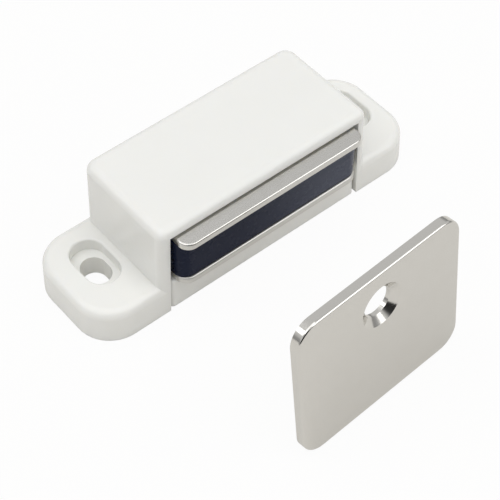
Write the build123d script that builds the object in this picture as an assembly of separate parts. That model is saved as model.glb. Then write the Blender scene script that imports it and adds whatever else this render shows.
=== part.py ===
from build123d import *
import math
import os

# Magnetic catch for a cabinet door. A white moulded housing with two screw ears carries a ferrite
# magnet between two steel pole plates, and a steel strike plate goes on the door.
# Sizes are in millimetres. X runs along the catch, -Y is the front, which the door closes on, and
# +Z is up. The origin lies on the mounting surface, midway along the housing, in line with the slots.

# Magnet pack: a block of ferrite between two nickel-plated pole plates
magnet_length = 32.2
magnet_depth = 14.0
magnet_height = 7.0
magnet_corner_radius = 1.9
magnet_chamfer = 0.2
plate_end_inset = 0.1  # the plates end this far inside the magnet
pole_plate_thickness = 1.0
upper_plate_depth = 18.0
upper_plate_corner_radius = 1.7
lower_plate_corner_radius = 2.0
plate_back_corner_radius = 1.0
plate_edge_radius = 0.3
upper_plate_reach = 2.45  # how far each piece stands out of the housing's front face
lower_plate_reach = 1.65
magnet_reach = 1.3

# Fit of the pack in its pocket
float_travel = 0.5  # the pack shifts this far in or out to meet the strike plate
stop_gap = 0.05  # left over at each end of the float
seat_gap = 0.05  # between the pack and the floor that it slides on
top_gap = 0.35
pocket_side_gap = 0.95  # from the magnet's end to the side wall, at the floor
guide_gap = 0.25  # from the magnet's end to the guide ribs

# Housing: walls, ears and outer rounding. The ends of the body, the ears and the pocket all lean in
# by the side draft, which lets the moulding leave its mould.
side_draft = 2.0  # degrees
side_wall = 1.75
back_wall = 1.5
roof_thickness = 1.5
floor_top = 5.6
floor_thickness = 1.6
body_top_radius = 1.3
body_front_radius = 1.3
body_back_radius = 1.9
ear_length = 10.2
ear_thickness = 5.5
ear_corner_radius = 5.5
ear_edge_radius = 1.3

# Screw slots in the ears: a through slot under a sunk seat for the screw's head. The right slot stands
# further out from the body than the left one.
screw_line_from_front = 10.0
left_slot_from_body = 3.75
right_slot_from_body = 4.9
slot_width = 3.8
slot_length = 5.1
head_seat_width = 5.2
head_seat_length = 8.6
head_seat_depth = 2.05
seat_rim_radius = 0.3

# Hollow underside of the ears
rim_wall = 1.5
boss_wall = 1.4
ear_skin = 1.4

# Floor tongue, which springs down while the pack is pushed in
tongue_slit = 0.8
tongue_root = 3.0
lip_thickness = 1.4
lip_setback = 0.2
lip_side_gap = 0.3
lip_base_gap = 0.1
lip_corner_radius = 0.7
lip_edge_radius = 0.3
tongue_rib_count = 4
tongue_rib_width = 1.0
tongue_rib_height = 1.4

# Nib on the tongue, which stands in a window of the lower pole plate and holds the pack in
nib_width = 6.0
nib_length = 2.4
nib_height = 0.8
nib_crest = 0.6
nib_behind_front = 9.0
nib_side_gap = 0.3
core_window_length = 1.2

# Guide ribs on the inside of the side walls
guide_rib_width = 1.2
guide_rib_lead = 0.5
guide_ribs_behind_front = (5.5, 12.5)

# Strike plate and where it stands, apart from the catch
strike_length = 28.8
strike_height = 24.3
strike_thickness = 1.5
strike_corner_radius = 3.3
strike_edge_radius = 0.35
strike_hole_below_top = 5.9
strike_hole_radius = 2.3
countersink_radius = 3.4
countersink_depth = 0.85
strike_distance = 29.5
strike_offset = -4.4
strike_turn = 3.5  # degrees about the vertical
strike_lean = 5.7  # degrees, top edge towards the catch

# Sizes that follow from the ones above. The pocket's and the body's lengths are at the floor's height,
# and the overall length is at the mounting surface.
pole_plate_length = magnet_length - 2 * plate_end_inset
pocket_length = magnet_length + 2 * pocket_side_gap
body_length = pocket_length + 2 * side_wall
overall_length = body_length + 2 * ear_length
slot_places = (-body_length / 2 - left_slot_from_body, body_length / 2 + right_slot_from_body)
screw_spacing = slot_places[1] - slot_places[0]
front_y = -screw_line_from_front
pack_back_y = front_y - upper_plate_reach + upper_plate_depth
pocket_back_y = pack_back_y + float_travel + stop_gap
back_y = pocket_back_y + back_wall
housing_depth = back_y - front_y
lower_plate_z = floor_top + seat_gap
magnet_z = lower_plate_z + pole_plate_thickness
upper_plate_z = magnet_z + magnet_height
pocket_top = upper_plate_z + pole_plate_thickness + top_gap
body_height = pocket_top + roof_thickness
tongue_length = pocket_length - 2 * tongue_slit
lip_length = pocket_length - 2 * lip_side_gap
nib_front_y = front_y + nib_behind_front
nib_back_y = nib_front_y + nib_length


def block(x_length, y_from, y_to, z_from, z_to, x_centre=0.0):
    """A box between two depths and two heights, centred on x_centre."""
    size_y = y_to - y_from
    size_z = z_to - z_from
    centre = Pos(x_centre, (y_from + y_to) / 2, (z_from + z_to) / 2)
    return centre * Box(x_length, size_y, size_z)


def drafted(x_length, level, y_from, y_to, z_from, z_to):
    """A block whose two ends lean in by the side draft. Its length is x_length at the height level."""
    slope = math.tan(math.radians(side_draft))
    foot = x_length / 2 + (level - z_from) * slope
    head = x_length / 2 + (level - z_to) * slope
    outline = Polygon((-foot, z_from), (foot, z_from), (head, z_to), (-head, z_to), align=None)
    return extrude(Plane.XZ.offset(-y_to) * outline, y_to - y_from)


def round_uprights(form, front_radius, back_radius):
    """Rounds a drafted block's upright corners, at the front and, unless the radius is 0, at the back."""
    uprights = form.edges().filter_by(Axis.Z, tolerance=side_draft + 1)
    form = fillet(uprights.group_by(Axis.Y)[0], front_radius)
    if back_radius > 0:
        uprights = form.edges().filter_by(Axis.Z, tolerance=side_draft + 1)
        form = fillet(uprights.group_by(Axis.Y)[-1], back_radius)
    return form


def plan(x_length, y_from, y_to, front_radius, back_radius):
    """A rectangle seen from above, with its own corner radius at the front and at the back."""
    sheet = Pos(0, (y_from + y_to) / 2) * Rectangle(x_length, y_to - y_from)
    corners = sheet.vertices().sort_by(Axis.Y)
    sheet = fillet(corners[:2], front_radius)
    return fillet(sheet.vertices().group_by(Axis.Y)[-1], back_radius)


def slot_at(slot_x, x_length, y_length):
    """The outline of the screw slot at slot_x, or of its boss or seat."""
    return Pos(slot_x, 0) * SlotOverall(y_length, x_length, rotation=90)


def ear_slab():
    """The base slab, whose two ends are the ears, with a slot and a sunk seat for the screw in each."""
    slab = drafted(overall_length, 0, front_y, back_y, 0, ear_thickness)
    slab = round_uprights(slab, ear_corner_radius, ear_corner_radius)
    slab = fillet(slab.faces().sort_by(Axis.Z)[-1].edges(), ear_edge_radius)
    for slot_x in slot_places:
        slab -= extrude(slot_at(slot_x, slot_width, slot_length), ear_thickness)
        seat = extrude(slot_at(slot_x, head_seat_width, head_seat_length), head_seat_depth)
        slab -= Pos(0, 0, ear_thickness - head_seat_depth) * seat
    top = slab.faces().sort_by(Axis.Z)[-1]
    rims = [edge for wire in top.inner_wires() for edge in wire.edges()]
    return fillet(rims, seat_rim_radius)


def raised_body():
    """The box round the pack, before its pocket is cut."""
    body = drafted(body_length, floor_top, front_y, back_y, 0, body_height)
    body = round_uprights(body, body_front_radius, body_back_radius)
    return fillet(body.faces().sort_by(Axis.Z)[-1].edges(), body_top_radius)


def ear_hollows():
    """The shallow core under each ear. It leaves a rim all round and a boss about the slot."""
    inner_radius = ear_corner_radius - rim_wall
    hollow = plan(
        overall_length - 2 * rim_wall,
        front_y + rim_wall,
        back_y - rim_wall,
        inner_radius,
        inner_radius,
    )
    hollow -= Pos(0, (front_y + back_y) / 2) * Rectangle(body_length, housing_depth)
    boss_length = slot_length + 2 * boss_wall
    for slot_x in slot_places:
        hollow -= slot_at(slot_x, slot_width + 2 * boss_wall, boss_length)
        body_end = math.copysign(body_length / 2, slot_x)
        hollow -= Pos((slot_x + body_end) / 2, 0) * Rectangle(abs(slot_x - body_end), boss_length)
    return extrude(hollow, ear_thickness - head_seat_depth - ear_skin)


def tongue():
    """The pocket's floor: a ribbed tongue free at its front and sides, with a lip and a retaining nib."""
    lip_front_y = front_y + lip_setback
    floor_bottom = floor_top - floor_thickness
    rib_bottom = floor_bottom - tongue_rib_height
    skin_front_y = lip_front_y + lip_corner_radius
    root_front_y = pocket_back_y - tongue_root
    root_back_y = pocket_back_y + back_wall / 2
    piece = block(tongue_length, skin_front_y, root_back_y, floor_bottom, floor_top)
    piece += block(pocket_length + side_wall, root_front_y, root_back_y, floor_bottom, floor_top)
    lip_back_y = lip_front_y + lip_thickness
    lip = drafted(lip_length, floor_top, lip_front_y, lip_back_y, lip_base_gap, floor_top)
    lip = round_uprights(lip, lip_corner_radius, 0)
    top_edges = lip.faces().sort_by(Axis.Z)[-1].edges()
    piece += fillet(top_edges.sort_by(Axis.Y)[:-1], lip_edge_radius)
    rib_pitch = tongue_length / tongue_rib_count
    rib_front_y = lip_front_y + lip_thickness / 2
    for i in range(tongue_rib_count):
        rib_x = (i + 0.5) * rib_pitch - tongue_length / 2
        piece += block(tongue_rib_width, rib_front_y, root_back_y, rib_bottom, floor_top, rib_x)
    ramp = Polygon(
        (nib_front_y, floor_bottom),
        (nib_back_y, floor_bottom),
        (nib_back_y, floor_top + nib_height),
        (nib_back_y - nib_crest, floor_top + nib_height),
        (nib_front_y, floor_top),
        align=None,
    )
    piece += extrude(Plane.YZ * ramp, nib_width / 2, both=True)
    core_window_back = nib_back_y + core_window_length
    return piece - block(nib_width, nib_back_y, core_window_back, 0, floor_top)


def guide_ribs():
    """Upright ribs inside the side walls, with a lead-in at the front, that keep the pack central."""
    ribs = []
    wall_x = pocket_length / 2
    face_x = magnet_length / 2 + guide_gap
    for behind_front in guide_ribs_behind_front:
        rib_front_y = front_y + behind_front
        rib_back_y = rib_front_y + guide_rib_width
        outline = Polygon(
            (face_x, rib_back_y),
            (face_x, rib_front_y),
            (wall_x, rib_front_y - guide_rib_lead),
            (wall_x + side_wall / 2, rib_front_y - guide_rib_lead),
            (wall_x + side_wall / 2, rib_back_y),
            align=None,
        )
        rib = extrude(Pos(0, 0, floor_top) * outline, pocket_top - floor_top + roof_thickness / 2)
        ribs += [rib, mirror(rib, Plane.YZ)]
    return ribs


def make_housing():
    housing = ear_slab() + raised_body()
    housing -= drafted(pocket_length, floor_top, front_y - 1, pocket_back_y, -1, pocket_top)
    housing -= ear_hollows()
    housing += tongue()
    for rib in guide_ribs():
        housing += rib
    return housing


def make_pole_plate(reach, front_radius, z_from):
    """A blanked steel plate. The edge is rounded on its upper side, where the punch drew it in."""
    plate_front_y = front_y - reach
    outline = plan(pole_plate_length, plate_front_y, pack_back_y, front_radius, plate_back_corner_radius)
    plate = extrude(Pos(0, 0, z_from) * outline, pole_plate_thickness)
    return fillet(plate.faces().sort_by(Axis.Z)[-1].edges(), plate_edge_radius)


def nib_window():
    """The opening in the lower pole plate. Its length past the nib sets how far the pack floats."""
    end_gap = float_travel + stop_gap
    window_width = nib_width + 2 * nib_side_gap
    plate_top = lower_plate_z + pole_plate_thickness
    return block(window_width, nib_front_y - end_gap, nib_back_y + end_gap, lower_plate_z, plate_top)


def make_magnet():
    magnet_front_y = front_y - magnet_reach
    outline = plan(
        magnet_length,
        magnet_front_y,
        magnet_front_y + magnet_depth,
        magnet_corner_radius,
        magnet_corner_radius,
    )
    magnet = extrude(Pos(0, 0, magnet_z) * outline, magnet_height)
    ends = magnet.faces().sort_by(Axis.Z)
    return chamfer(ends[0].edges() + ends[-1].edges(), magnet_chamfer)


def make_strike_plate():
    """A flat plate with a countersunk hole, stood upright in front of the catch and a little askew."""
    outline = RectangleRounded(strike_length, strike_height, strike_corner_radius)
    plate = extrude(Plane.XZ * Pos(0, strike_height / 2) * outline, -strike_thickness)
    plate = fillet(plate.faces().sort_by(Axis.Y)[0].edges(), strike_edge_radius)
    hole_z = strike_height - strike_hole_below_top
    plate -= extrude(Plane.XZ * Pos(0, hole_z) * Circle(strike_hole_radius), -strike_thickness)
    countersink = Cone(
        strike_hole_radius,
        countersink_radius,
        countersink_depth,
        align=(Align.CENTER, Align.CENTER, Align.MAX),
    )
    plate -= Plane.XZ * Pos(0, hole_z) * countersink
    foot_z = strike_thickness * math.sin(math.radians(strike_lean))
    place = Pos(strike_offset, front_y - strike_distance, foot_z)
    return place * Rot(0, 0, strike_turn) * Rot(-strike_lean, 0, 0) * plate


upper_plate = make_pole_plate(upper_plate_reach, upper_plate_corner_radius, upper_plate_z)
lower_plate = make_pole_plate(lower_plate_reach, lower_plate_corner_radius, lower_plate_z)
pieces = {
    "housing": make_housing(),
    "upper_pole_plate": upper_plate,
    "magnet": make_magnet(),
    "lower_pole_plate": lower_plate - nib_window(),
    "strike_plate": make_strike_plate(),
}

os.makedirs("parts", exist_ok=True)
for name, piece in pieces.items():
    export_step(piece, f"parts/{name}.step")
print(f"catch {overall_length:.1f} x {housing_depth:.1f} x {body_height:.1f}")
print(f"screw slots {screw_spacing:.2f} apart")
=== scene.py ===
import bpy
import math
from mathutils import Matrix, Vector


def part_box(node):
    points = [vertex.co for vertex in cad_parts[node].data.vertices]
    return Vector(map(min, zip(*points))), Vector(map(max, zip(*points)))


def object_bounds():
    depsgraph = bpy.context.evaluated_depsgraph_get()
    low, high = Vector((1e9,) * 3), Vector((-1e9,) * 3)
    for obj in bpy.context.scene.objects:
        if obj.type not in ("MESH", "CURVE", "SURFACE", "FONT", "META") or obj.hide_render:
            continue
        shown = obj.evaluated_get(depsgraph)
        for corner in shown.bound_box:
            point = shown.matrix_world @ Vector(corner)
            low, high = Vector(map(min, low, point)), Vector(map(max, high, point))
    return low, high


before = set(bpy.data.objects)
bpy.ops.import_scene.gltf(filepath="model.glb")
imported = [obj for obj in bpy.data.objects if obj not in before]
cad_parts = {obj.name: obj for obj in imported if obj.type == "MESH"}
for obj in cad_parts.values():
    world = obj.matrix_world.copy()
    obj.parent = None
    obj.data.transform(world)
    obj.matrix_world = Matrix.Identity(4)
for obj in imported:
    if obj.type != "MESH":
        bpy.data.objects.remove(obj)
cad_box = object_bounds()

# ---------------------------------------------------------------- Housing
# The white moulding that carries everything, shot in one piece in glossy ABS with its ears, floor
# tongue and ribs. Light sinks a little way into it, and its skin is faintly uneven from the mould.
housing_white = (0.88, 0.88, 0.852)
housing_warm = (0.862, 0.86, 0.828)
housing_roughness = 0.15
housing_scuffing = 0.09
housing_ior = 1.5
light_sunk = 0.25
sink_depth = 0.0015
sink_reach = (1.0, 0.95, 0.85)
mottle_size = 0.006
scuff_size = 0.0011
ripple_size = 0.0022
ripple_depth = 0.00002
grain_size = 0.0005
grain_share = 0.35


class Wire:
    """One value in a node tree. Sums, differences and products on it add Math nodes."""

    def __init__(self, finish, socket):
        self.finish = finish
        self.socket = socket

    def maths(self, operation, first, second):
        return self.finish.node("ShaderNodeMath", {"operation": operation}, {0: first, 1: second})

    def __add__(self, other):
        return self.maths("ADD", self, other)

    def __radd__(self, other):
        return self.maths("ADD", other, self)

    def __sub__(self, other):
        return self.maths("SUBTRACT", self, other)

    def __rsub__(self, other):
        return self.maths("SUBTRACT", other, self)

    def __mul__(self, other):
        return self.maths("MULTIPLY", self, other)

    def __rmul__(self, other):
        return self.maths("MULTIPLY", other, self)


class Finish:
    """A surface finish: a material with one Principled shader, fed by nodes where it varies."""

    def __init__(self, name, **fixed):
        self.material = bpy.data.materials.new(name)
        self.material.use_nodes = True
        self.tree = self.material.node_tree
        self.shader = self.tree.nodes["Principled BSDF"]
        for socket, value in fixed.items():
            self.shader.inputs[socket.replace("_", " ")].default_value = value

    def node(self, kind, settings, sockets, output=0):
        """Adds a node, sets it up, fills or links its sockets and returns one of its outputs."""
        made = self.tree.nodes.new(kind)
        for name, value in settings.items():
            setattr(made, name, value)
        for name, value in sockets.items():
            self.feed(made.inputs[name], value)
        return Wire(self, made.outputs[output])

    def feed(self, socket, value):
        if isinstance(value, Wire):
            self.tree.links.new(value.socket, socket)
        elif socket.type == "RGBA":
            socket.default_value = (*value, 1)
        else:
            socket.default_value = value

    def vary(self, **wires):
        for name, wire in wires.items():
            self.feed(self.shader.inputs[name.replace("_", " ")], wire)

    def spot(self):
        """The place on the piece, in metres."""
        return self.node("ShaderNodeTexCoord", {}, {}, "Object")

    def noise(self, size, detail=2, stretch=(1, 1, 1)):
        """Smooth noise from 0 to 1 whose grain is about size metres, drawn out along stretch."""
        scale = tuple(1 / s for s in stretch)
        spot = self.node("ShaderNodeMapping", {}, {"Vector": self.spot(), "Scale": scale})
        return self.node("ShaderNodeTexNoise", {}, {"Vector": spot, "Scale": 1 / size, "Detail": detail})

    def blend(self, amount, first, second):
        """Turns the first colour into the second as the amount goes from 0 to 1."""
        sockets = {0: amount, 6: first, 7: second}
        return self.node("ShaderNodeMix", {"data_type": "RGBA"}, sockets, 2)

    def relief(self, height, depth):
        """Raises the surface's shading by depth metres for a height of 1."""
        self.vary(Normal=self.node("ShaderNodeBump", {}, {"Height": height, "Distance": depth}))

    def coat(self, name):
        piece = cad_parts[name]
        piece.data.materials.clear()
        piece.data.materials.append(self.material)


moulded = Finish(
    "moulded_white",
    Subsurface_Weight=light_sunk,
    Subsurface_Scale=sink_depth,
    Subsurface_Radius=sink_reach,
    IOR=housing_ior,
)
mottle = moulded.noise(mottle_size, detail=3)
scuffs = moulded.noise(scuff_size, detail=4)
ripples = moulded.noise(ripple_size, detail=3)
grain = moulded.noise(grain_size)
moulded.vary(Base_Color=moulded.blend(mottle, housing_white, housing_warm))
moulded.vary(Roughness=housing_roughness + housing_scuffing * scuffs)
moulded.relief(ripples + grain_share * grain, ripple_depth)
moulded.coat("housing")

# ---------------------------------------------------------------- Magnet
# A block of dense ferrite, ground flat, with a hard shine. It is blue-black. Towards its right end its colour
# is painted greyer in streaks, a painted reflection of the lit floor. It lies between the two pole plates and
# holds them by its own pull.
ferrite_navy = (0.007, 0.011, 0.030)
# The grey that the right end is painted towards: a painted reflection of the lit floor, not a colour of the
# ferrite.
ferrite_painted_sheen = (0.079, 0.088, 0.12)
ferrite_roughness = 0.22
ferrite_dulling = 0.10
ferrite_ior = 1.45
ferrite_shine = 0.1
least_painted_sheen = 0.6
streaked_painted_sheen = 0.8
sheen_streak_size = 0.004
sheen_streak_stretch = (3, 1, 1)
dulling_size = 0.0012
pore_size = 0.0015
pore_depth = 0.000002
magnet_low, magnet_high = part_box("magnet")

ferrite = Finish("ferrite", IOR=ferrite_ior, Specular_IOR_Level=ferrite_shine)
along = ferrite.node("ShaderNodeSeparateXYZ", {}, {"Vector": ferrite.spot()}, "X")
ends = {"From Min": magnet_low[0], "From Max": magnet_high[0]}
rightness = ferrite.node("ShaderNodeMapRange", {"interpolation_type": "SMOOTHSTEP"}, {"Value": along, **ends})
# Painted reflection: the colour is blended from navy to grey towards the right end, broken into streaks by
# noise, standing in for the lit floor mirrored there.
sheen_streaks = ferrite.noise(sheen_streak_size, detail=4, stretch=sheen_streak_stretch)
painted_sheen = rightness * rightness * (least_painted_sheen + streaked_painted_sheen * sheen_streaks)
dulling = ferrite.noise(dulling_size, detail=4)
pores = ferrite.noise(pore_size, detail=3)
ferrite.vary(Base_Color=ferrite.blend(painted_sheen, ferrite_navy, ferrite_painted_sheen))
ferrite.vary(Roughness=ferrite_roughness + ferrite_dulling * dulling)
ferrite.relief(pores, pore_depth)
ferrite.coat("magnet")

# ---------------------------------------------------------------- Pole plates
# Two steel plates, blanked from rolled sheet and nickel plated, which the magnet grips. The upper one
# is polished, and the lower one keeps the long streaks of the sheet.
plate_nickel = (0.68, 0.67, 0.645)
plate_dull = (0.64, 0.63, 0.60)
plate_scuffing = 0.08
plate_scuff_size = 0.0012
plate_scuff_stretch = (3, 1, 1)
streak_size = 0.0005


def plate_finish(name, roughness, streak_stretch, streak_depth):
    """Nickel over rolled steel, with faint streaks along the plate."""
    nickel = Finish(name, Metallic=1.0)
    streaks = nickel.noise(streak_size, detail=3, stretch=(streak_stretch, 1, 1))
    scuffs = nickel.noise(plate_scuff_size, detail=3, stretch=plate_scuff_stretch)
    nickel.vary(Base_Color=nickel.blend(streaks, plate_dull, plate_nickel))
    nickel.vary(Roughness=roughness + plate_scuffing * scuffs)
    nickel.relief(streaks, streak_depth)
    return nickel


polished = plate_finish("polished_nickel", roughness=0.19, streak_stretch=3, streak_depth=0.000001)
polished.coat("upper_pole_plate")
brushed = plate_finish("brushed_nickel", roughness=0.36, streak_stretch=12, streak_depth=0.000004)
brushed.coat("lower_pole_plate")

# ---------------------------------------------------------------- Strike plate
# The flat steel plate that a countersunk screw holds to the door, blanked from sheet with its front
# edges rounded, and nickel plated. The plating is bright, with a slight haze.
strike_nickel = (0.70, 0.688, 0.656)
strike_dull = (0.675, 0.658, 0.622)
strike_roughness = 0.10
strike_hazing = 0.05
haze_size = 0.002
haze_depth = 0.000002

strike = Finish("strike_nickel", Metallic=1.0)
haze = strike.noise(haze_size, detail=3)
strike.vary(Base_Color=strike.blend(haze, strike_dull, strike_nickel))
strike.vary(Roughness=strike_roughness + strike_hazing * haze)
strike.relief(haze, haze_depth)
strike.coat("strike_plate")

# ---------------------------------------------------------------- Floor
# The pale matt sheet that everything stands on. The camera sees it as nearly white, with the shadows
# on it faint, and the metal mirrors it mostly as it is lit.
floor_colour = (0.8, 0.785, 0.755)
floor_roughness = 0.9
floor_shine = 0.1
floor_reach = 1.5
floor_clearance = 0.00002
floor_seen = 0.94
floor_mirrored = 0.15

floor_mesh = bpy.data.meshes.new("floor")
corners = [(x * floor_reach, y * floor_reach, 0) for x, y in ((-1, -1), (1, -1), (1, 1), (-1, 1))]
floor_mesh.from_pydata(corners, [], [(0, 1, 2, 3)])
floor = bpy.data.objects.new("floor", floor_mesh)
floor.location.z = cad_box[0].z - floor_clearance
bpy.context.scene.collection.objects.link(floor)


def camera_ray(finish):
    """1 for a ray straight from the camera, and 0 for any other."""
    return finish.node("ShaderNodeLightPath", {}, {}, "Is Camera Ray")


def mirror_ray(finish):
    """1 for a ray that metal or glass sends on, and 0 for any other."""
    glossy = finish.node("ShaderNodeLightPath", {}, {}, "Is Glossy Ray")
    return glossy + finish.node("ShaderNodeLightPath", {}, {}, "Is Transmission Ray")


paper = Finish(
    "pale_floor",
    Base_Color=(*floor_colour, 1),
    Roughness=floor_roughness,
    Specular_IOR_Level=floor_shine,
)
white = paper.node("ShaderNodeEmission", {}, {"Color": (1, 1, 1)})
lit = Wire(paper, paper.shader.outputs[0])
share = floor_seen * camera_ray(paper) + floor_mirrored * mirror_ray(paper)
surface = paper.node("ShaderNodeMixShader", {}, {0: share, 1: lit, 2: white})
paper.feed(paper.tree.nodes["Material Output"].inputs["Surface"], surface)
floor_mesh.materials.append(paper.material)

# ---------------------------------------------------------------- Room
# The studio beyond the floor. It is white to the camera and lights every side alike. In the metal it
# is a soft grey, dimmer low down, with a dark side at the front left and a dark ceiling.
room_light = 0.455
room_mirrored = 0.68
dimming = 0.5
dim_below = 0.12
bright_above = 0.40
dark_way = (-0.45, -0.85, 0.25)
dark_edge = math.cos(math.radians(42))
dark_middle = math.cos(math.radians(26))
darkening = 0.93
ceiling_start = 0.86
ceiling_end = 0.93

world = bpy.data.worlds.new("studio")
bpy.context.scene.world = world


class Room(Finish):
    """The world's own nodes, worked as a finish's are."""

    def __init__(self, world):
        world.use_nodes = True
        self.tree = world.node_tree

    def rise(self, value, start, end):
        """Rises smoothly from 0 to 1 as the value goes from start to end."""
        sockets = {"Value": value, "From Min": start, "From Max": end}
        return self.node("ShaderNodeMapRange", {"interpolation_type": "SMOOTHSTEP"}, sockets)


room = Room(world)
way = room.node("ShaderNodeTexCoord", {}, {}, "Generated")
height = room.node("ShaderNodeSeparateXYZ", {}, {"Vector": way}, "Z")
towards = room.node("ShaderNodeVectorMath", {"operation": "DOT_PRODUCT"}, {0: way, 1: dark_way}, "Value")
sky = 1 - dimming + dimming * room.rise(height, dim_below, bright_above)
dark_side = 1 - darkening * room.rise(towards, dark_edge, dark_middle)
ceiling = 1 - room.rise(height, ceiling_start, ceiling_end)
mirrored = mirror_ray(room) * (room_mirrored * sky * dark_side * ceiling - room_light)
glow = room.tree.nodes["Background"]
room.feed(glow.inputs["Color"], (1, 1, 1))
room.feed(glow.inputs["Strength"], room_light + (1 - room_light) * camera_ray(room) + mirrored)

# ---------------------------------------------------------------- Lamps
# Three soft studio lamps hung round the catch: a broad one overhead, one at the front right, which
# draws the bright lines along the metal's front rims, and a small one at the back left.


def lamp(name, place, width, length, power):
    """A rectangular lamp that faces the origin."""
    data = bpy.data.lights.new(name, "AREA")
    data.shape = "RECTANGLE"
    data.size = width
    data.size_y = length
    data.energy = power
    made = bpy.data.objects.new(name, data)
    made.location = place
    made.rotation_mode = "QUATERNION"
    made.rotation_quaternion = (-Vector(place)).to_track_quat("-Z", "Y")
    bpy.context.scene.collection.objects.link(made)


lamp("overhead", place=(-0.15, 0.0, 0.8), width=0.9, length=0.9, power=3.7)
lamp("front", place=(0.43, -0.57, 0.64), width=0.6, length=0.85, power=1.95)
lamp("back_left", place=(-0.68, 0.48, 0.66), width=0.3, length=0.3, power=0.5)

# ---------------------------------------------------------------- Camera
# A long lens that looks down on the catch from in front of its left end. The angles are of the way
# from the catch back to the camera, and the roll turns the camera about it.
view_azimuth = math.radians(-39.69)
view_elevation = math.radians(50.57)
view_roll = math.radians(0.14)
camera_place = (-0.09615, -0.12219, 0.17954)
film_width = 36.0
lens_length = 116.8
nearest_seen = 0.01

camera_data = bpy.data.cameras.new("camera")
camera_data.sensor_width = film_width
camera_data.lens = lens_length
camera_data.clip_start = nearest_seen
camera = bpy.data.objects.new("camera", camera_data)
back = Vector((
    math.sin(view_azimuth) * math.cos(view_elevation),
    -math.cos(view_azimuth) * math.cos(view_elevation),
    math.sin(view_elevation),
))
right = Vector((math.cos(view_azimuth), math.sin(view_azimuth), 0))
up = back.cross(right)
turn = Matrix((right, up, back)).transposed() @ Matrix.Rotation(view_roll, 3, "Z")
camera.rotation_mode = "QUATERNION"
camera.rotation_quaternion = turn.to_quaternion()
camera.location = camera_place
bpy.context.scene.collection.objects.link(camera)
bpy.context.scene.camera = camera
bpy.context.scene.view_settings.view_transform = "Standard"
